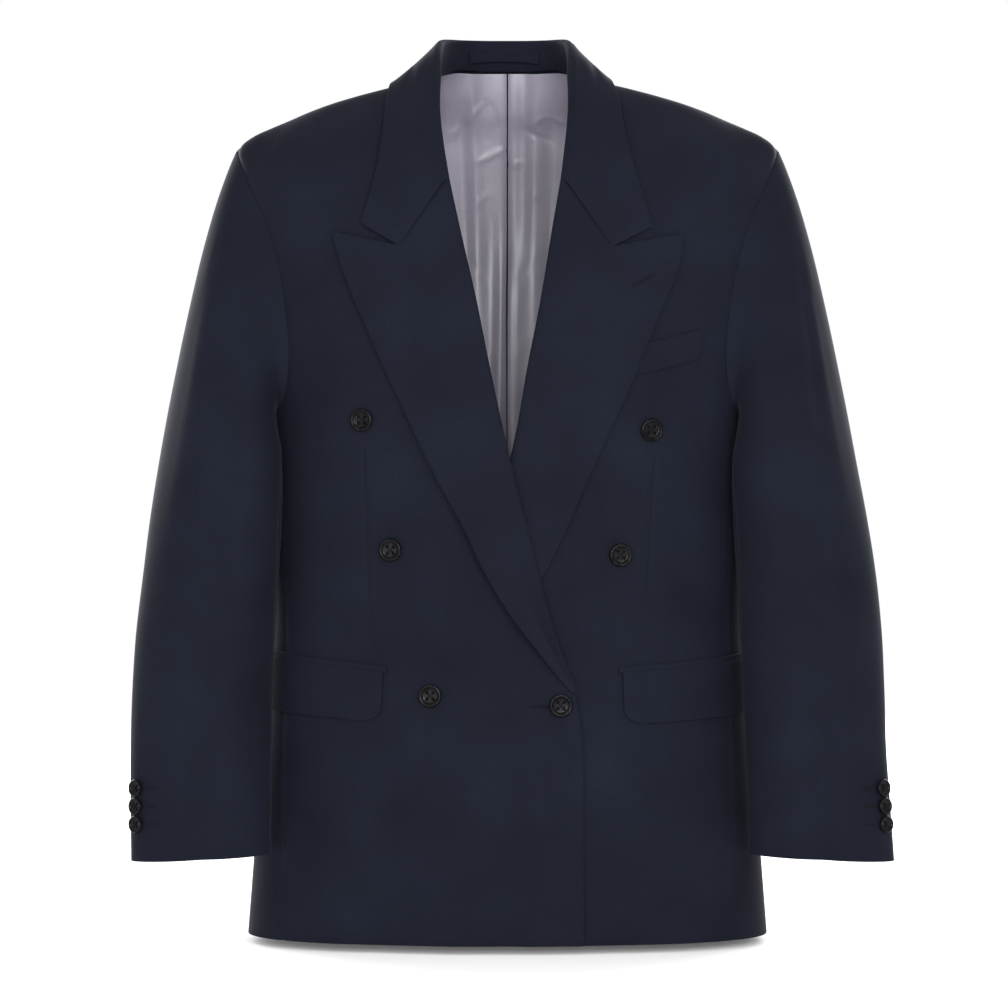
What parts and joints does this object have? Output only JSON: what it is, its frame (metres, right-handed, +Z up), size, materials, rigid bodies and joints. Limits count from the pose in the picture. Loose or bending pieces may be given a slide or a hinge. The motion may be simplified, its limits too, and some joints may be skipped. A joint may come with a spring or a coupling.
{
  "type": "double breasted blazer",
  "caption": "Tailored double breasted jacket with peak lapels, flap pockets, two-piece sleeves and an open neck, hem and cuffs; hollow, filled out with no wearer.",
  "frame": {"origin": "centre of the neck, level with the neck ends of the shoulder seams, where a hanger's neck stands", "axes": "+Z up the body towards the collar, front faces -Y, +X towards the wearer's left"},
  "size_m": [0.6662, 0.2461, 0.8061],
  "materials": {
    "navy_wool": "smooth worsted wool twill, matte",
    "grey_lining": "satin lining with a soft sheen",
    "dark_horn": "mottled dark horn, polished"
  },
  "bodies": {
    "root": {"front_right": "navy_wool", "front_left": "navy_wool", "side_right": "navy_wool", "side_left": "navy_wool", "back_right": "navy_wool", "back_left": "navy_wool", "sleeve_right_top": "navy_wool", "sleeve_right_under": "navy_wool", "sleeve_left_top": "navy_wool", "sleeve_left_under": "navy_wool", "collar": "navy_wool", "lapel_right": "navy_wool", "lapel_left": "navy_wool", "flap_right": "navy_wool", "flap_left": "navy_wool", "jet_right": "navy_wool", "jet_left": "navy_wool", "breast_welt": "navy_wool", "hanger_loop": "navy_wool", "lining_back_right": "grey_lining", "lining_back_left": "grey_lining", "button_right_top": "dark_horn", "button_right_middle": "dark_horn", "button_right_low": "dark_horn", "button_left_top": "dark_horn", "button_left_middle": "dark_horn", "button_fastening": "dark_horn", "cuff_button_right_upper": "dark_horn", "cuff_button_right_middle": "dark_horn", "cuff_button_right_lower": "dark_horn", "cuff_button_left_upper": "dark_horn", "cuff_button_left_middle": "dark_horn", "cuff_button_left_lower": "dark_horn"}
  },
  "joints": []
}
